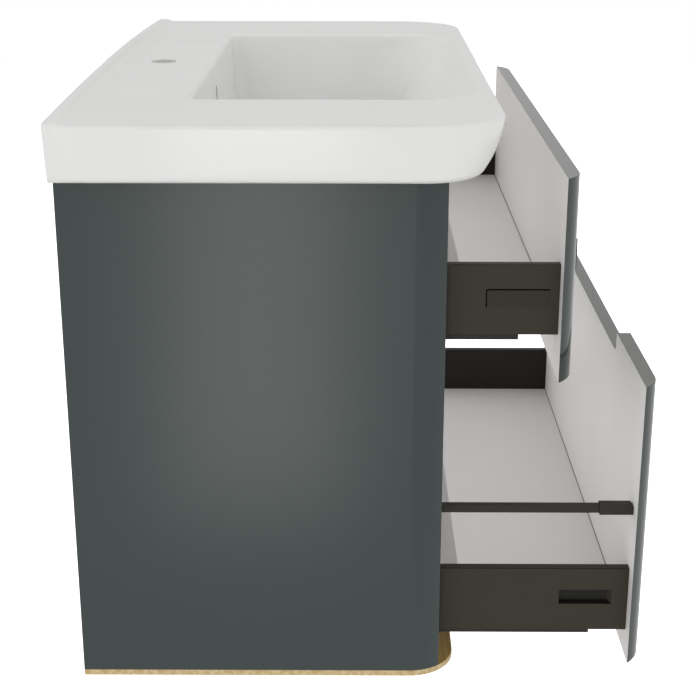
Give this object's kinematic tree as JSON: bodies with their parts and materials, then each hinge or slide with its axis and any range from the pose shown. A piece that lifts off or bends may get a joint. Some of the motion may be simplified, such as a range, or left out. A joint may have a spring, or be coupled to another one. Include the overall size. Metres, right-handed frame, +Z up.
{
  "type": "vanity unit with sink",
  "caption": "Wall-hung vanity unit: white ceramic washbasin with a raised rear lip on a lacquered cabinet with drawers that stand partly open.",
  "frame": {"origin": "midpoint of the two wall rail screws, on the wall plane", "axes": "+Z up, -Y out of the wall towards the user, +X to the right of someone facing the fronts"},
  "size_m": [0.9992, 0.687, 0.6975],
  "materials": {
    "sanitary_ceramic": "glossy white glaze",
    "lacquered_panel": "dark green-grey satin-gloss lacquer on board",
    "lacquered_front": "dark green-grey lacquer outside, white inside",
    "oak": "oiled oak veneer",
    "melamine_board": "white melamine-faced chipboard",
    "drawer_board": "white melamine-faced chipboard",
    "coated_side_steel": "anthracite powder coat",
    "coated_rail_steel": "anthracite powder coat",
    "cap_plastic": "moulded anthracite plastic",
    "surround_plastic": "moulded light grey plastic",
    "galvanised_runner_steel": "galvanised sheet steel",
    "galvanised_rail_steel": "galvanised sheet steel",
    "bracket_steel": "zinc-plated steel",
    "zinc_cams": "zinc die casting",
    "zinc_plated_screws": "zinc-plated screws"
  },
  "bodies": {
    "cabinet": {"back_rail_lower": "melamine_board", "back_rail_upper": "melamine_board", "base_plate": "oak", "base_plate_screws": "zinc_plated_screws", "bottom_panel": "melamine_board", "cam_bolts": "zinc_plated_screws", "cam_locks": "zinc_cams", "front_stretcher": "melamine_board", "hanger_left": "bracket_steel", "hanger_right": "bracket_steel", "hanger_screws": "zinc_plated_screws", "runner_cabinet_member_lower_left": "galvanised_runner_steel", "runner_cabinet_member_lower_right": "galvanised_runner_steel", "runner_cabinet_member_upper_left": "galvanised_runner_steel", "runner_cabinet_member_upper_right": "galvanised_runner_steel", "runner_screws": "zinc_plated_screws", "side_panel_left": "lacquered_panel", "side_panel_right": "lacquered_panel", "wall_rail": "galvanised_rail_steel", "washbasin": "sanitary_ceramic"},
    "drawer_upper": {"back_fixing_upper_left": "coated_side_steel", "back_fixing_upper_right": "coated_side_steel", "drawer_back_upper": "drawer_board", "drawer_bottom_upper": "drawer_board", "drawer_front_upper": "lacquered_front", "drawer_side_upper_left": "coated_side_steel", "drawer_side_upper_right": "coated_side_steel", "front_bracket_upper_left": "bracket_steel", "front_bracket_upper_right": "bracket_steel", "front_screws_upper": "zinc_plated_screws", "runner_drawer_member_upper_left": "galvanised_runner_steel", "runner_drawer_member_upper_right": "galvanised_runner_steel", "trap_surround": "surround_plastic", "cover_cap_left": "cap_plastic", "cover_cap_right": "cap_plastic"},
    "drawer_lower": {"back_fixing_lower_left": "coated_side_steel", "back_fixing_lower_right": "coated_side_steel", "drawer_back_lower": "drawer_board", "drawer_bottom_lower": "drawer_board", "drawer_front_lower": "lacquered_front", "drawer_side_lower_left": "coated_side_steel", "drawer_side_lower_right": "coated_side_steel", "front_bracket_lower_left": "bracket_steel", "front_bracket_lower_right": "bracket_steel", "front_screws_lower": "zinc_plated_screws", "runner_drawer_member_lower_left": "galvanised_runner_steel", "runner_drawer_member_lower_right": "galvanised_runner_steel", "gallery_rail_left": "coated_rail_steel", "gallery_rail_right": "coated_rail_steel", "gallery_bracket_left": "coated_rail_steel", "gallery_bracket_right": "coated_rail_steel"},
    "runner_middle_upper": {"runner_middle_member_upper_left": "galvanised_runner_steel", "runner_middle_member_upper_right": "galvanised_runner_steel"},
    "runner_middle_lower": {"runner_middle_member_lower_left": "galvanised_runner_steel", "runner_middle_member_lower_right": "galvanised_runner_steel"}
  },
  "joints": [
    {"name": "upper_drawer_slide", "type": "slide", "parent": "cabinet", "child": "drawer_upper", "axis": [0, -1, 0], "range_m": [-0.13, 0.25]},
    {"name": "lower_drawer_slide", "type": "slide", "parent": "cabinet", "child": "drawer_lower", "axis": [0, -1, 0], "range_m": [-0.232, 0.148]},
    {"name": "upper_runner_slide", "type": "slide", "parent": "cabinet", "child": "runner_middle_upper", "axis": [0, -1, 0], "range_m": [-0.065, 0.125]},
    {"name": "lower_runner_slide", "type": "slide", "parent": "cabinet", "child": "runner_middle_lower", "axis": [0, -1, 0], "range_m": [-0.116, 0.074]}
  ],
  "couplings": [
    {"joint": "upper_runner_slide", "follows": "upper_drawer_slide", "ratio": 0.5},
    {"joint": "lower_runner_slide", "follows": "lower_drawer_slide", "ratio": 0.5}
  ]
}
